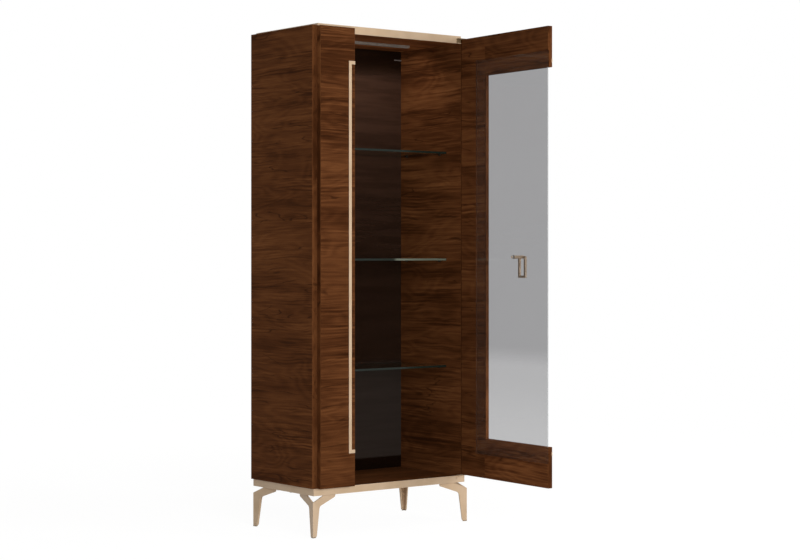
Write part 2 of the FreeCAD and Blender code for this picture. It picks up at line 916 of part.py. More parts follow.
post = new_body("PullPost")
post_section = new_sketch(post, "PostSection", "XZ_Plane")
post_end = "post_reach + post_diameter / 2"
add_outline(
    post_section,
    [
        ("screw_diameter / 2", "washer_thick"),
        ("post_foot_diameter / 2", "washer_thick"),
        ("post_foot_diameter / 2", "washer_thick + post_foot_thick"),
        ("post_diameter / 2", "washer_thick + post_foot_thick"),
        ("post_diameter / 2", f"{post_end} - post_chamfer"),
        ("post_diameter / 2 - post_chamfer", post_end),
        ("0", post_end),
        ("0", "screw_depth"),
        ("screw_diameter / 2", "screw_depth"),
    ],
)
revolve(post, "PostTurned", post_section)
eye = new_sketch(post, "PostEye", "YZ_Plane")
add_circle(eye, ("0", "post_reach"), "loop_thick + 2 * loop_play")
pocket(post, "PostEyeCut", eye, "post_diameter + 2 * overrun", both_ways=True)
hand_in(post, "pull_post", pull_swing)

washers = []
for count, seat in enumerate(("0", "-glass_thick - washer_thick")):
    disc = rod(f"WasherDisc{count}", "washer_diameter", "washer_thick", ("0", "0", seat), "z")
    washer_bore = rod(f"WasherBore{count}", "screw_diameter", "washer_thick", ("0", "0", seat), "z")
    washers.append(cut(f"Washer{count}", disc, [washer_bore]))
hand_in(group("PullWashers", washers), "pull_washers", pull_swing)

loop = new_body("PullLoop")
loop_outline = new_sketch(loop, "LoopOutline", "XY_Plane", lift="post_reach")
outer = "loop_width / 2"
inner = "(loop_width / 2 - loop_bar)"
foot = "(loop_thick / 2 - loop_height)"
add_outline(
    loop_outline,
    [
        (f"-{outer}", "0"),
        (f"-{outer}", foot),
        (outer, foot),
        (outer, "0"),
        (inner, "0"),
        (inner, f"{foot} + loop_bar"),
        (f"-{inner}", f"{foot} + loop_bar"),
        (f"-{inner}", "0"),
    ],
)
loop_frame = pad(loop, "LoopFrame", loop_outline, "loop_thick", both_ways=True)
loop_foot = sizes_sheet.loop_thick / 2 - sizes_sheet.loop_height


def is_loop_corner(edge):
    middle = edge.CenterOfMass
    return is_upright(edge) and same(middle.y, loop_foot)


round_edges(loop, "LoopCorners", loop_frame, "loop_round", is_loop_corner)
journal = new_sketch(loop, "LoopJournal", "YZ_Plane")
add_circle(journal, ("0", "post_reach"), "loop_thick")
pad(loop, "LoopJournalPad", journal, "loop_width", both_ways=True)
hand_in(loop, "pull_loop", pull_swing)

# Build, test and write

doc.recompute()

for thing in doc.Objects:
    if "Invalid" in thing.State or "Error" in thing.State:
        raise RuntimeError(f"{thing.Label} did not build: {thing.State}")
for feature, base in cuts:
    if base.Shape.Volume <= feature.Shape.Volume:
        raise RuntimeError(f"{feature.Label} removes nothing")
for piece in pieces:
    if piece.Shape.isNull() or not piece.Shape.isValid() or not piece.Shape.Solids:
        raise RuntimeError(f"{piece.Label} has no valid solid")

os.makedirs("parts", exist_ok=True)
for piece in pieces:
    piece.Shape.exportStep(os.path.join("parts", piece.Label + ".step"))
print(len(pieces), "pieces written")
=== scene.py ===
import json
import math

import bmesh
import bpy
from mathutils import Matrix, Vector


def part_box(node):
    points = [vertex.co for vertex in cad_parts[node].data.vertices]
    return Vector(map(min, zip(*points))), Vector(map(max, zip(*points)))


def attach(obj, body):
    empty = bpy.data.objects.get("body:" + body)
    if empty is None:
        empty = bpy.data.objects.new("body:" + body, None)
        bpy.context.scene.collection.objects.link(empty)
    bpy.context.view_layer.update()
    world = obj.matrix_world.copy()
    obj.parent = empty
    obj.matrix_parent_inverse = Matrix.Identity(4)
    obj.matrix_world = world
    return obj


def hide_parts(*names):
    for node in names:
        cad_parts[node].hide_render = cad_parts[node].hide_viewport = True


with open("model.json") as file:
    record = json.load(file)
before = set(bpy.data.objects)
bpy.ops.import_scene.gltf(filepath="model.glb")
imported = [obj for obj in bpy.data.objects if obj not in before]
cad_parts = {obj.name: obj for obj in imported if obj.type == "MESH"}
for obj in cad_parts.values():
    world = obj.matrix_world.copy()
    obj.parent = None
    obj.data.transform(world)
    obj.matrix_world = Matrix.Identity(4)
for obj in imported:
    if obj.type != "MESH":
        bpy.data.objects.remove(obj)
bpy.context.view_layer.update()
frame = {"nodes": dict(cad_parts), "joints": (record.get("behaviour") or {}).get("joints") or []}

scene = bpy.context.scene
scene.view_settings.view_transform = "Standard"
nodes = frame["nodes"]
hinge = next(joint for joint in frame["joints"] if joint["name"] == "door_hinge")
hingePoint = Vector(hinge["pos_m"])
openAngle = -math.radians(hinge["range_deg"][0])  # the door is stored open and is shut at its low limit
swing = Matrix.Rotation(openAngle, 4, "Z")
doorTurn = Matrix.Translation(hingePoint) @ swing @ Matrix.Translation(-hingePoint)
white = (1, 1, 1, 1)
edgeRound = {"board": 0.0006, "plate": 0.0004, "pull": 0.0008, "fitting": 0.0003}  # metres
print("frame loaded:", len(nodes), "nodes")


def tone(red, green, blue):
    # screen colour 0-255 to linear
    def linear(part):
        part /= 255
        return part / 12.92 if part <= 0.04045 else ((part + 0.055) / 1.055) ** 2.4
    return (linear(red), linear(green), linear(blue), 1)


def scaled(colour, factor):
    return tuple(part * factor for part in colour[:3]) + (1,)


class Wire:
    # an output socket that can stand in a sum
    def __init__(self, paint, socket):
        self.paint, self.socket = paint, socket

    def calc(self, operation, *values):
        return self.paint.add("ShaderNodeMath", {"operation": operation}, dict(enumerate(values)))

    def __add__(self, other):
        return self.calc("ADD", self, other)

    def __radd__(self, other):
        return self.calc("ADD", other, self)

    def __sub__(self, other):
        return self.calc("SUBTRACT", self, other)

    def __rsub__(self, other):
        return self.calc("SUBTRACT", other, self)

    def __mul__(self, other):
        return self.calc("MULTIPLY", self, other)

    def __rmul__(self, other):
        return self.calc("MULTIPLY", other, self)

    def __gt__(self, other):
        return self.calc("GREATER_THAN", self, other)

    def __lt__(self, other):
        return self.calc("LESS_THAN", self, other)

    def __pow__(self, power):
        return self.calc("POWER", self, power)

    def __abs__(self):
        return self.calc("ABSOLUTE", self)

    def sine(self):
        return self.calc("SINE", self)

    def least(self, other):
        return self.calc("MINIMUM", self, other)

    def most(self, other):
        return self.calc("MAXIMUM", self, other)

    def also(self, name):
        return Wire(self.paint, self.socket.node.outputs[name])  # another output of the same node


class Paint:
    # the nodes of one material or of the world
    def __init__(self, owner):
        owner.use_nodes = True
        self.owner, self.tree = owner, owner.node_tree
        self.tree.nodes.clear()

    def add(self, kind, settings, sockets, out=0):
        node = self.tree.nodes.new(kind)
        for key, value in settings.items():
            if key == "stops":
                ramp = node.color_ramp.elements
                while len(ramp) < len(value):
                    ramp.new(1)
                for stop, (spot, colour) in zip(ramp, value):
                    stop.position, stop.color = spot, colour
            else:
                setattr(node, key, value)
        for key, value in sockets.items():
            if isinstance(value, Wire):
                self.tree.links.new(value.socket, node.inputs[key])
            else:
                node.inputs[key].default_value = value
        return Wire(self, node.outputs[out])

    def spot(self, body="carcase"):
        # where a point is at rest; on the door, where it would be with the door shut
        place = self.add("ShaderNodeTexCoord", {}, {}, "Object")
        if body == "carcase":
            return place
        turn = {"Vector": place, "Center": hingePoint, "Axis": (0, 0, 1), "Angle": -openAngle}
        return self.add("ShaderNodeVectorRotate", {}, turn)

    def facing(self, body="carcase"):
        way = self.add("ShaderNodeTexCoord", {}, {}, "Normal")
        if body == "carcase":
            return way
        return self.add("ShaderNodeVectorRotate", {}, {"Vector": way, "Axis": (0, 0, 1), "Angle": -openAngle})

    def split(self, vector):
        parts = self.add("ShaderNodeSeparateXYZ", {}, {0: vector})
        return parts, parts.also("Y"), parts.also("Z")

    def vector(self, operation, *values):
        return self.add("ShaderNodeVectorMath", {"operation": operation}, dict(enumerate(values)))

    def stretch(self, vector, scale, shift=(0, 0, 0)):
        return self.vector("MULTIPLY_ADD", vector, scale, shift)

    def scale(self, vector, factor):
        settings = {"operation": "SCALE"}
        return self.add("ShaderNodeVectorMath", settings, {0: vector, "Scale": factor})

    def noise(self, vector, detail=3, rough=0.55, bend=0):
        sockets = {"Vector": vector, "Scale": 1, "Detail": detail, "Roughness": rough, "Distortion": bend}
        return self.add("ShaderNodeTexNoise", {}, sockets)

    def fade(self, value, low, high, start=0, end=1):
        sockets = {0: value, 1: low, 2: high, 3: start, 4: end}
        return self.add("ShaderNodeMapRange", {"interpolation_type": "SMOOTHSTEP"}, sockets)

    def blend(self, share, first, second):
        settings = {"data_type": "RGBA", "blend_type": "MIX"}
        return self.add("ShaderNodeMix", settings, {0: share, 6: first, 7: second}, 2)

    def choose(self, share, first, second):
        return self.add("ShaderNodeMix", {"data_type": "VECTOR"}, {0: share, 4: first, 5: second}, 1)

    def mirror(self):
        # share of light a pane throws back: little face on, all of it edge on
        faceOn = 0.04
        slant = self.add("ShaderNodeLayerWeight", {}, {"Blend": 0.5}, "Facing")
        return faceOn + slant ** 5 * (1 - faceOn)

    def bump(self, height, depth, strength):
        return self.add("ShaderNodeBump", {}, {"Height": height, "Distance": depth, "Strength": strength})

    def worn(self, place, box, width):
        # one along the edges of a box, broken up by noise
        gaps = []
        for part, low, high in zip(self.split(place), *box):
            gaps.append((part - low).least(high - part))
        first, second, third = gaps
        middle = first.least(second).most(first.most(second).least(third))
        patchy = self.noise(self.stretch(place, (45, 45, 45)), 3)
        return self.fade(middle + (patchy - 0.5) * width * 2, 0, width, 1, 0)

    def clear(self, colour):
        return self.add("ShaderNodeBsdfTransparent", {}, {"Color": colour})

    def gloss(self, roughness, bump):
        sockets = {"Color": white, "Roughness": roughness, "Normal": bump}
        return self.add("ShaderNodeBsdfAnisotropic", {}, sockets)

    def body(self, **sockets):
        named = {key.replace("_", " "): value for key, value in sockets.items()}
        return self.add("ShaderNodeBsdfPrincipled", {}, named)

    def layer(self, share, first, second):
        return self.add("ShaderNodeMixShader", {}, {0: share, 1: first, 2: second})

    def done(self, surface):
        isWorld = isinstance(self.owner, bpy.types.World)
        end = self.tree.nodes.new("ShaderNodeOutputWorld" if isWorld else "ShaderNodeOutputMaterial")
        self.tree.links.new(surface.socket, end.inputs["Surface"])
        return self.owner


def newPaint(name):
    return Paint(bpy.data.materials.new(name))


def dress(names, material):
    for name in names:
        nodes[name].data.materials.clear()
        nodes[name].data.materials.append(material)


def soften(names, width):
    # tiny rounding of the edges, on top of the CAD mesh
    for name in names:
        weld = nodes[name].modifiers.new("weld", "WELD")
        weld.merge_threshold = 1e-6
        bevel = nodes[name].modifiers.new("edges", "BEVEL")
        bevel.width, bevel.segments = width, 2
        bevel.limit_method, bevel.angle_limit = "ANGLE", math.radians(40)
        bevel.harden_normals = True


def shutBox(names):
    # lowest and highest corner of door nodes with the door shut
    back = doorTurn.inverted()
    spots = [back @ vertex.co for name in names for vertex in nodes[name].data.vertices]
    low = Vector(min(spot[axis] for spot in spots) for axis in range(3))
    high = Vector(max(spot[axis] for spot in spots) for axis in range(3))
    return low, high


paneLow, paneHigh = shutBox(["door_glass"])
screwLow, screwHigh = shutBox(["pull_screw"])
windowSide = shutBox(["door_stile"])[0].x
windowFoot = shutBox(["door_bottom_rail"])[1].z
windowHead = shutBox(["door_top_rail"])[0].z


# Walnut veneer, grain level on the panels and upright on the edge strips, each board and strip scaled
# brighter or darker as painted light and shade

walnutLook = {
    "vein": tone(52, 27, 12),
    "dark": tone(71, 39, 19),
    "middle": tone(88, 51, 27),
    "pale": tone(103, 62, 34),
    "gold": tone(120, 75, 43),
    "roughness": 0.5,
    "shine": 0.01,
    "wear": 0.0025,  # width of the wear along an edge, metres
    "sway": 0.045,  # how far the grain wanders across the board, metres
    "ringTurns": 95,
    "paintedRebateShade": 0.6,  # painted shade on the wall of the rebate against the board
}
walnutStops = {"vein": 0.32, "dark": 0.43, "middle": 0.5, "pale": 0.57, "gold": 0.7}
walnutShares = {"broad": 0.35, "figure": 0.4, "streak": 0.6, "rings": 0.022}
walnutGrain = {
    # scale along, across and through the veneer, then detail and roughness of the noise
    "wander": ((1.7, 4, 0.6), 3, 0.55),
    "patches": ((2.5, 11, 2), 2, 0.55),
    "broad": ((1.3, 8, 1.5), 2, 0.55),
    "figure": ((2, 48, 3), 4, 0.6),
    "streak": ((3.2, 150, 12), 4, 0.7),
    "fibre": ((28, 1300, 90), 2, 0.55),
    "sparse": ((3, 26, 2), 2, 0.55),
    "ground": ((1.5, 6.5, 1.2), 2, 0.5),
    "crest": ((1.1, 11, 1.4), 3, 0.6),
}


def walnut(name, box, order, shift, body="carcase", edge=None, lift=1, edgePaintedLight=1, edgeEnd=None):
    # order gives the axes along, across and through the veneer; its edge strip faces down the edge axis
    # lift and edgePaintedLight scale the colour of the board and of its edge strip as painted light and shade
    look, share = walnutLook, walnutShares
    paint = newPaint(name)
    place = paint.spot(body)
    wear = paint.worn(place, box, look["wear"])

    def axes(along, across, through):
        scale = dict(zip(order, (along, across, through)))
        return tuple(scale[axis] for axis in "xyz")

    def grain(kind, vector, offset=(0, 0, 0), bend=0):
        scale, detail, rough = walnutGrain[kind]
        return paint.noise(paint.stretch(vector, axes(*scale), offset), detail, rough, bend)

    if edge:
        # edge strip: swing the grain upright by trading the two axes
        x, y, z = paint.split(place)
        turned = {"yzx": (x, z, y), "xzy": (z, y, x)}[order]
        upright = paint.add("ShaderNodeCombineXYZ", {}, dict(enumerate(turned)))
        turn = paint.split(paint.facing(body))["xyz".index(edge)]
        place = paint.choose(abs(turn) > 0.7, place, upright)
        if edgeEnd is not None:
            wall = lift * look["paintedRebateShade"]  # past the end lies the wall of the rebate, darkened as painted shade
            edgePaintedLight = wall + (x < edgeEnd) * (edgePaintedLight - wall)
        # the edge strip takes its own painted light factor
        lift = lift + (turn < -0.7) * (edgePaintedLight - lift)
    place = paint.stretch(place, (1, 1, 1), shift)
    sway = paint.scale(axes(0, look["sway"], 0), grain("wander", place) - 0.5)
    bent = paint.vector("ADD", place, sway)
    broad, figure, streak = (grain(kind, bent) for kind in ("broad", "figure", "streak"))
    fibre, sparse = grain("fibre", bent), grain("sparse", bent)
    lively = paint.fade(grain("patches", place), 0.36, 0.64, 0.4, 1.1)  # calm and streaky patches
    ground = grain("ground", bent, (3, 7, 1), 0.3)
    rings = (ground * look["ringTurns"]).sine()  # nested ovals where the cut meets the year rings
    fine = (figure - 0.5) * share["figure"] + (streak - 0.5) * share["streak"]
    depth = 0.5 + (broad - 0.5) * share["broad"] + fine * lively + rings * share["rings"]
    stops = [(spot, look[key]) for key, spot in walnutStops.items()]
    colour = paint.add("ShaderNodeValToRGB", {"stops": stops}, {0: depth})
    pores = paint.fade(fibre, 0.55, 0.68) * paint.fade(sparse, 0.4, 0.65, 0.12, 0.5)
    crest = abs(grain("crest", bent, (5, 2, 9), 0.4) - 0.5)
    crack = paint.fade(crest, 0.002, 0.012, 0.75, 0) * paint.fade(sparse, 0.46, 0.58)  # a few long dark veins
    colour = paint.blend(pores.most(crack), colour, look["vein"])
    # wear pales the edges; lift then scales the whole colour as painted light or shade
    colour = paint.scale(paint.blend(wear * 0.3, colour, look["gold"]), lift)
    rough = look["roughness"] + (streak - 0.5) * 0.2 + pores * 0.15 - wear * 0.1
    bump = paint.bump(fibre * 0.6 + streak * 0.4, 0.0004, 0.3)
    sockets = {"Base_Color": colour, "Roughness": rough, "Normal": bump}
    return paint.done(paint.body(**sockets, Specular_IOR_Level=look["shine"]))


panels = {
    # node: axes of the veneer, its shift, the axis that its edge strip faces, painted light factor of board
    # and of strip (colour scaled brighter or darker for how the light falls)
    "left_side_panel": ("yzx", (0.3, 1.7, 0.4), "y", 1.28, 1),
    "right_side_panel": ("yzx", (2.1, 4.2, 1.9), "y", 1.3, 1),
    "fixed_panel": ("xzy", (5.3, 0.2, 2.6), "x", 0.95, 1.3),
    "fixed_panel_batten": ("xzy", (1.3, 2.2, 8.6), None, 1, 1),
    "top_panel": ("xyz", (7.1, 3.3, 0.9), None, 2.5, 1),
    "floor_panel": ("xyz", (9.4, 6.6, 2.2), None, 1.16, 1),
}
for node, (order, shift, edge, lift, edgePaintedLight) in panels.items():
    veneer = walnut("walnut_" + node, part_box(node), order, shift, "carcase", edge, lift, edgePaintedLight)
    dress([node], veneer)
doorBoards = {
    # node: shift of the veneer, painted light factor of board and of strip
    "door_stile": ((0.7, 8.1, 3.3), 1.32, 2.2),  # painted light: the edge beside the glass is made paler, standing in for the light it misses behind the grey pane
    "door_top_rail": ((4.4, 1.5, 6.2), 1.25, 1.1),
    "door_bottom_rail": ((6.8, 3.9, 1.1), 1.75, 1.1),
}
doorBox = shutBox(doorBoards)
# end of the painted light on the stile's edge beside the glass
paintedLightEdgeEnd = windowSide + 0.002
for node, (shift, lift, edgePaintedLight) in doorBoards.items():
    veneer = walnut("walnut_" + node, doorBox, "xzy", shift, "door", "x", lift, edgePaintedLight, paintedLightEdgeEnd)
    dress([node], veneer)
soften([*panels, *doorBoards], edgeRound["board"])
print("walnut laid on", len(panels) + len(doorBoards), "boards")


# Pale satin brass plate; the upper pivot bracket is darkened as painted shade, and the pull is made paler as
# painted light

brassLook = {
    "colour": tone(209, 182, 152),
    "warm": tone(200, 172, 140),
    "edge": tone(226, 203, 176),
    "metal": 0.1,
    "roughness": 0.42,
    "wear": 0.0015,  # width of the wear along an edge, metres
}
# painted shade: a darker copy of the brass for the upper pivot bracket, where the door's shadow falls
paintedShadeBracketLook = {
    **brassLook,
    "colour": tone(136, 114, 86),
    "warm": tone(116, 96, 70),
    "edge": tone(158, 135, 105),
}
# painted light: the pull's paler brass colour stands in for light it misses behind the grey pane; its lower
# roughness is its own polish
paintedLightPullLook = {
    **brassLook,
    "colour": tone(240, 214, 186),
    "warm": tone(232, 203, 172),
    "edge": tone(246, 226, 203),
    "metal": 0.2,
    "roughness": 0.24,
}


def brass(name, box, along, body="carcase", look=brassLook):
    # fine brushing runs along one axis
    paint = newPaint(name)
    place = paint.spot(body)
    lines = [14 if axis == along else 900 for axis in "xyz"]
    brushed = paint.noise(paint.stretch(place, lines), 3)
    cloud = paint.noise(paint.stretch(place, (9, 9, 9)), 3)
    wear = paint.worn(place, box, look["wear"])
    colour = paint.blend(paint.fade(cloud, 0.35, 0.7), look["colour"], look["warm"])
    colour = paint.blend(wear * 0.6, colour, look["edge"])
    rough = look["roughness"] + (brushed - 0.5) * 0.16 + (cloud - 0.5) * 0.12 - wear * 0.1
    bump = paint.bump(brushed, 0.0001, 0.25)
    sockets = {"Base_Color": colour, "Metallic": look["metal"], "Roughness": rough, "Normal": bump}
    return paint.done(paint.body(**sockets, Specular_IOR_Level=0.3))


brassParts = {
    # axis of the brushing: nodes
    "x": ["top_cap", "base_rail_front", "base_rail_back", "pivot_bracket_bottom", "pivot_bracket_top"],
    "y": ["base_rail_left", "base_rail_right"],
    "z": ["leg_front_left", "leg_front_right", "leg_back_right", "leg_back_left", "fixed_panel_trim"],
}
pullParts = {"pull_post": "y", "pull_screw": "y", "pull_loop": "z"}
for along, names in brassParts.items():
    for name in names:
        # painted shade on the upper pivot bracket only
        look = paintedShadeBracketLook if name == "pivot_bracket_top" else brassLook
        dress([name], brass("brass_" + name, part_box(name), along, "carcase", look))
    soften(names, edgeRound["plate"])
dress(["door_trim"], brass("brass_door_trim", shutBox(["door_trim"]), "z", "door"))
for name, along in pullParts.items():
    dress([name], brass("brass_" + name, shutBox([name]), along, "door", paintedLightPullLook))
soften(["door_trim"], edgeRound["plate"])
soften(["pull_loop"], edgeRound["pull"])
print("brass plated")


# Back panel: dark gloss lacquer in front, raw board behind; the front's colour carries painted lamp light,
# painted reflections and painted shade by height

lacquerLook = {
    "deep": tone(40, 27, 20),
    # painted lamp light in the upper part
    "warm": tone(62, 42, 32),
    # painted reflection of the room in the lowest bay
    "low": tone(53, 46, 42),
    # dark tone used for the painted reflection along the foot, the painted shade under the top and the faint
    # grain lines
    "foot": tone(17, 9, 5),
    "roughness": 0.12,
}
lacquerHeights = {
    # metres above the floor between which one tone fades into the next
    # painted reflection of the floor panel as a dark band along the foot
    "foot": (0.232, 0.242),
    # painted reflection of the room below the bottom shelf
    "low": (0.61, 0.65),
    "grain": (0.6, 0.7),
    # painted lamp light rises between these heights
    "warm": (0.95, 1.6),
    # painted lamp light fades out between these heights
    "paintedLampLightEnd": (1.8, 1.9),
    # painted shade under the top
    "head": (1.82, 1.9),
}
boardLook = {"chip": tone(112, 84, 62), "fleck": tone(82, 60, 44), "roughness": 0.75}

paint = newPaint("dark_lacquer")
place = paint.spot()
height = paint.split(place)[2]
cloud = paint.noise(paint.stretch(place, (2.2, 2.2, 3.1)), 4)
# painted lamp light, paler upwards
pale = paint.fade(height + (cloud - 0.5) * 0.5, *lacquerHeights["warm"])
pale = pale * paint.fade(height, *lacquerHeights["paintedLampLightEnd"], 1, 0)  # painted lamp light: palest below the lamp, fading out under the top
colour = paint.blend(pale, lacquerLook["deep"], lacquerLook["warm"])
# painted reflections: the room in the lowest bay and the floor panel along the foot
for key in ("low", "foot"):
    colour = paint.blend(paint.fade(height, *lacquerHeights[key]), lacquerLook[key], colour)
# painted shade under the top
colour = paint.blend(paint.fade(height, *lacquerHeights["head"]), colour, lacquerLook["foot"])
lines = paint.noise(paint.stretch(place, (2.5, 2.5, 34)), 5, 0.6)
lines = paint.fade(lines, 0.36, 0.62, 0.36, 0) * paint.fade(height, *lacquerHeights["grain"], 0.35, 1)
colour = paint.blend(lines, colour, lacquerLook["foot"])  # faint grain under the lacquer
rough = lacquerLook["roughness"] + (cloud - 0.5) * 0.08
bump = paint.bump(paint.noise(paint.stretch(place, (160, 160, 160)), 2), 0.0002, 0.08)
front = paint.body(Base_Color=colour, Roughness=rough, Normal=bump, Specular_IOR_Level=0.5)
fleck = paint.noise(paint.stretch(place, (420, 420, 160)), 4, 0.7)
chips = paint.fade(fleck + (cloud - 0.5) * 0.4, 0.38, 0.62)
colour = paint.blend(chips, boardLook["fleck"], boardLook["chip"])
rough = boardLook["roughness"] + (fleck - 0.5) * 0.3
bump = paint.bump(fleck, 0.0003, 0.2)
rear = paint.body(Base_Color=colour, Roughness=rough, Normal=bump, Specular_IOR_Level=0.15)
onRear = paint.split(paint.facing())[1] > 0.5
dress(["back_panel"], paint.done(paint.layer(onRear, front, rear)))
soften(["back_panel"], edgeRound["plate"])
print("back panel lacquered")


# Clear glass shelves with green edges, and a painted highlight on the middle shelf's edge

shelfLook = {
    "clear": tone(243, 249, 246),
    "edge": tone(28, 36, 30),
    "paintedGleam": tone(104, 110, 96),
    "paintedGleamStart": (0.075, 0.1),  # metres along x
}


def shelfGlass(name, paintedGleam):
    # painted highlight: one makes the hinge end of the edge paler, where it catches light
    paint = newPaint(name)
    place = paint.spot()
    onEdge = abs(paint.split(paint.facing())[2]) < 0.6
    wave = paint.noise(paint.stretch(place, (30, 30, 30)), 2)
    gloss = paint.gloss(0.03, paint.bump(wave, 0.0002, 0.05))
    face = paint.layer(paint.mirror(), paint.clear(shelfLook["clear"]), gloss)
    streak = paint.noise(paint.stretch(place, (20, 20, 700)), 2)
    # painted highlight along the hinge end of the edge
    paintedHighlight = paint.fade(paint.split(place)[0] + (wave - 0.5) * 0.02, *shelfLook["paintedGleamStart"], 0, paintedGleam)
    colour = paint.blend(paintedHighlight + (streak - 0.5) * 0.1, shelfLook["edge"], shelfLook["paintedGleam"])
    rim = paint.body(Base_Color=colour, Roughness=0.08 + streak * 0.1, Specular_IOR_Level=0.35)
    return paint.done(paint.layer(onEdge, face, rim))


dress(["shelf_middle"], shelfGlass("clear_glass_middle_painted_gleam", 1))
dress(["shelf_bottom", "shelf_top"], shelfGlass("clear_glass", 0))


# Grey pane of the door, bored for the pull, its tint painted lighter towards the foot

paneLook = {
    "inset": 0.00015,  # kept clear of the rebate on every face
    "arris": 0.0003,
    "hole": 0.003,  # radius
    "holeSides": 40,
    "smoke": tone(201, 201, 202),
    "tint": 0.94,  # share of the smoke in the window
    "haze": tone(236, 226, 216),
    "hazeShare": 0.012,
    "edge": tone(205, 208, 208),
    "edgeShare": 0.4,
    "edgeEnd": (0.002, 0.004),  # metres from the free end between which its tone stops
    "lap": 0.001,  # half width of the change from window to rebate
}
paintedPaneLightening = (
    # painted light: heights between which the tint lightens downwards, and by how much; it stands in for the
    # pale floor seen through the pane
    (0.64, 0.735, 0.22),
    (0.36, 0.64, 0.1),
)


def meshPiece(name, build, material, body):
    mesh = bpy.data.meshes.new(name)
    shape = bmesh.new()
    build(shape)
    shape.to_mesh(mesh)
    shape.free()
    piece = bpy.data.objects.new(name, mesh)
    scene.collection.objects.link(piece)
    mesh.materials.append(material)
    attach(piece, body)
    return piece


def bridge(shape, first, second):
    # a band of faces between two rings of points
    count = len(first)
    for index in range(count):
        following = (index + 1) % count
        shape.faces.new((first[index], first[following], second[following], second[index]))


def buildPane(shape):
    # a plate with a round hole for the pull, its long edges arrissed
    inset, arris = paneLook["inset"], paneLook["arris"]
    low = paneLow + Vector((inset, inset, inset))
    high = paneHigh - Vector((inset, inset, inset))
    centre = (screwLow + screwHigh) / 2
    reach, sides = paneLook["hole"], paneLook["holeSides"]
    loops = []
    for depth, cut in [(low.y, arris), (low.y + arris, 0), (high.y - arris, 0), (high.y, arris)]:
        corners = [
            (low.x + cut, low.z + cut), (high.x - cut, low.z + cut),
            (high.x - cut, high.z - cut), (low.x + cut, high.z - cut),
        ]
        loops.append([shape.verts.new((x, depth, z)) for x, z in corners])
    for first, second in zip(loops, loops[1:]):
        bridge(shape, first, second)
    rings = []
    quarter = sides // 4
    for outline, depth in ((loops[0], low.y), (loops[-1], high.y)):
        ring = []
        for step in range(sides):
            angle = math.tau * (step + 0.5) / sides - math.pi * 0.75
            spot = (centre.x + reach * math.cos(angle), depth, centre.z + reach * math.sin(angle))
            ring.append(shape.verts.new(spot))
        rings.append(ring)
        for index in range(4):
            # each side of the plate fans out to its quarter of the hole
            run = [ring[(index * quarter + step) % sides] for step in range(quarter + 1)]
            shape.faces.new([outline[index], *run, outline[(index + 1) % 4]])
    bridge(shape, *rings)
    bmesh.ops.recalc_face_normals(shape, faces=shape.faces)
    shape.transform(doorTurn)


paint = newPaint("smoked_glass")
place = paint.spot("door")
x, z = paint.split(place)[::2]
flat = abs(paint.split(paint.facing("door"))[1])  # one on the two large faces, none on the edges
lap = paneLook["lap"]
lapSide = paint.fade(x, windowSide - lap, windowSide + lap, 1, 0)
lapFoot = paint.fade(z, windowFoot - lap, windowFoot + lap)
lapHead = paint.fade(z, windowHead - lap, windowHead + lap, 1, 0)
cloud = paint.noise(paint.stretch(place, (3, 3, 3)), 2)
tint = paneLook["tint"] + (cloud - 0.5) * 0.03
# painted light: the pane lightens towards its foot
for low, high, drop in paintedPaneLightening:
    tint = tint - paint.fade(z, low, high, drop, 0)
shadowRay = paint.add("ShaderNodeLightPath", {}, {}, "Is Shadow Ray")
lightRay = shadowRay.most(shadowRay.also("Is Diffuse Ray"))
tint = lapSide * lapFoot * lapHead * tint * (1 - lightRay)  # a thin pane hardly darkens what it shades
haze = paint.add("ShaderNodeBsdfDiffuse", {}, {"Color": paneLook["haze"]})
through = paint.layer(tint, paint.clear(white), paint.clear(paneLook["smoke"]))
through = paint.layer(paneLook["hazeShare"], through, haze)
wave = paint.noise(paint.stretch(place, (24, 24, 24)), 2)
gloss = paint.gloss(0.02, paint.bump(wave, 0.0001, 0.01))
face = paint.layer(paint.mirror() * (flat > 0.95), through, gloss)
streak = paint.noise(paint.stretch(place, (700, 30, 30)), 2)
rim = paint.body(Base_Color=paneLook["edge"], Roughness=0.1 + streak * 0.1, Specular_IOR_Level=0.6)
near, far = (paneLow.x + width for width in paneLook["edgeEnd"])
bareEdge = paint.fade(x, near, far, paneLook["edgeShare"], 0) * lapFoot * lapHead
smoked = paint.done(paint.layer((flat < 0.6) * bareEdge, face, rim))  # the other edges lie in the rebate
pane = meshPiece("doorPane", buildPane, smoked, "door")
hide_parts("door_glass")
print("glass cut")


# Small metal, plastic and wooden parts

metalParts = {
    # material: colour, metallic share, roughness, nodes
    "steel": (tone(214, 212, 208), 0.4, 0.3, ["base_screws"]),
    "dull_steel": (tone(118, 110, 106), 0.4, 0.35, ["corner_plates"]),
    "bronze": (tone(58, 46, 36), 0.5, 0.4, ["shelf_pegs"]),
    "aluminium": (tone(158, 148, 138), 0.4, 0.35, ["lamp_channel"]),
}
plainParts = {
    # material: colour, roughness, scale of the grain, nodes
    "opal": (tone(122, 116, 110), 0.4, (300, 300, 300), ["lamp_diffuser"]),
    "clear_washer": (tone(150, 150, 150), 0.4, (300, 300, 300), ["pull_washers"]),
    "black_plastic": (
        tone(146, 125, 101), 0.55, (500, 500, 500), ["foot_glides", "pivot_bush_top", "pivot_bush_bottom"],
    ),
    "beech": (tone(190, 150, 108), 0.6, (40, 900, 900), ["top_tongues", "door_tongues"]),
}
diffuserGlow = {"Emission_Color": tone(235, 228, 218), "Emission_Strength": 0.03}


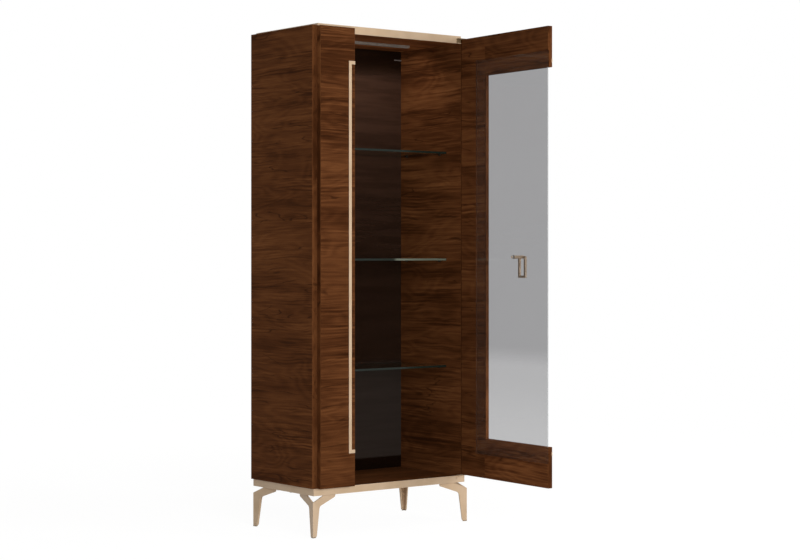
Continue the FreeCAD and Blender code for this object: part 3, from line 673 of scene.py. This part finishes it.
def metal(name, colour, amount, roughness):
    paint = newPaint(name)
    place = paint.spot()
    lines = paint.noise(paint.stretch(place, (30, 1500, 1500)), 2)
    cloud = paint.noise(paint.stretch(place, (60, 60, 60)), 3)
    shade = paint.blend(paint.fade(cloud, 0.4, 0.75), colour, scaled(colour, 0.75))
    rough = roughness + (lines - 0.5) * 0.2 + (cloud - 0.5) * 0.1
    bump = paint.bump(lines, 0.0001, 0.2)
    return paint.done(paint.body(Base_Color=shade, Metallic=amount, Roughness=rough, Normal=bump))


def plain(name, colour, roughness, grain):
    # moulded plastic or raw wood: fine grain in colour, roughness and bump
    paint = newPaint(name)
    place = paint.spot()
    speck = paint.noise(paint.stretch(place, grain), 3)
    shade = paint.blend(paint.fade(speck, 0.45, 0.8), colour, scaled(colour, 1.5))
    rough = roughness + (speck - 0.5) * 0.2
    bump = paint.bump(speck, 0.0002, 0.15)
    more = diffuserGlow if name == "opal" else {}
    return paint.done(paint.body(Base_Color=shade, Roughness=rough, Normal=bump, **more))


for name, (colour, amount, roughness, parts) in metalParts.items():
    dress(parts, metal(name, colour, amount, roughness))
for name, (colour, roughness, grain, parts) in plainParts.items():
    dress(parts, plain(name, colour, roughness, grain))
soften(["lamp_channel", "lamp_diffuser", "corner_plates"], edgeRound["fitting"])
print("small parts finished")


# Floor, light and camera

stageLook = {
    "ambient": 0.25,  # level of the sky for what it lights
    "floor": tone(208, 207, 205),
    "floorLift": (0.86, 1),  # share of its own light in the picture, near and far; the rest shows the shadow
    "floorGlow": (1.1, 1.1, 1.1, 1),
    "floorFade": (1.5, 5),  # metres from the middle between near and far
    "floorRadius": 60,
}
lamps = {
    # place, size, power
    "leftLamp": ((-2.2, -5.9, 1.4), 3.2, 193),
    "rightLamp": ((3.2, -5.1, 1.4), 2.2, 126),
    "topLamp": ((0.4, -1.2, 5.2), 4.0, 25),
    "rearLamp": ((2.6, 5.6, 2.2), 3.2, 110),
}
lampAim = Vector((0, 0, 0.95))
barGlow = {
    # light of the lamp bar, turned a little towards the back
    "drop": 0.004,
    "width": 0.016,
    "power": 0.95,
    "tilt": 24,
}
cameraLook = {
    "place": (-4.4951, -6.04, 1.0837),
    "turn": -37.911,
    "lens": 83.611,
    "sensor": 36,
    "rise": -0.03048,
    "far": 200,
}


def seenDirectly(paint):
    # one for what the camera sees, straight or in metal and glass
    path = paint.add("ShaderNodeLightPath", {}, {}, "Is Camera Ray")
    return path + path.also("Is Glossy Ray") + path.also("Is Transmission Ray")


paint = Paint(bpy.data.worlds.new("studio"))
strength = stageLook["ambient"] + seenDirectly(paint) * (1 - stageLook["ambient"])
scene.world = paint.done(paint.add("ShaderNodeBackground", {}, {"Color": white, "Strength": strength}))

mesh = bpy.data.meshes.new("floor")
shape = bmesh.new()
bmesh.ops.create_circle(shape, cap_ends=True, segments=64, radius=stageLook["floorRadius"])
shape.to_mesh(mesh)
shape.free()
floor = bpy.data.objects.new("floor", mesh)
scene.collection.objects.link(floor)
paint = newPaint("pale_floor")
away = paint.add("ShaderNodeVectorMath", {"operation": "LENGTH"}, {0: paint.spot()}, "Value")
lift = paint.fade(away, *stageLook["floorFade"], *stageLook["floorLift"])
matt = paint.add("ShaderNodeBsdfDiffuse", {}, {"Color": stageLook["floor"], "Roughness": 0.5})
glow = paint.blend(paint.fade(away, *stageLook["floorFade"]), stageLook["floorGlow"], white)
glow = paint.add("ShaderNodeEmission", {}, {"Color": glow, "Strength": 1})  # meets the sky without a line
mesh.materials.append(paint.done(paint.layer(seenDirectly(paint) * lift, matt, glow)))

for name, (place, size, power) in lamps.items():
    light = bpy.data.lights.new(name, "AREA")
    light.shape, light.size, light.energy = "DISK", size, power
    lamp = bpy.data.objects.new(name, light)
    lamp.location = place
    lamp.rotation_euler = (lampAim - lamp.location).to_track_quat("-Z", "Y").to_euler()
    lamp.visible_glossy = False  # no bright disc in the glass
    scene.collection.objects.link(lamp)

diffuserLow, diffuserHigh = (Vector(corner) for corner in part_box("lamp_diffuser"))
light = bpy.data.lights.new("barGlow", "AREA")
light.shape, light.size, light.size_y = "RECTANGLE", diffuserHigh.x - diffuserLow.x, barGlow["width"]
light.energy = barGlow["power"]
lamp = bpy.data.objects.new("barGlow", light)
lamp.location = (diffuserLow + diffuserHigh) / 2
lamp.location.z = diffuserLow.z - barGlow["drop"]
lamp.rotation_euler.x = math.radians(barGlow["tilt"])
lamp.visible_camera = lamp.visible_glossy = False
scene.collection.objects.link(lamp)

lensData = bpy.data.cameras.new("camera")
lensData.lens, lensData.sensor_width = cameraLook["lens"], cameraLook["sensor"]
lensData.shift_y, lensData.clip_end = cameraLook["rise"], cameraLook["far"]
camera = bpy.data.objects.new("camera", lensData)
camera.location = cameraLook["place"]
camera.rotation_euler = (math.pi / 2, 0, math.radians(cameraLook["turn"]))
scene.collection.objects.link(camera)
scene.camera = camera
print("stage set")
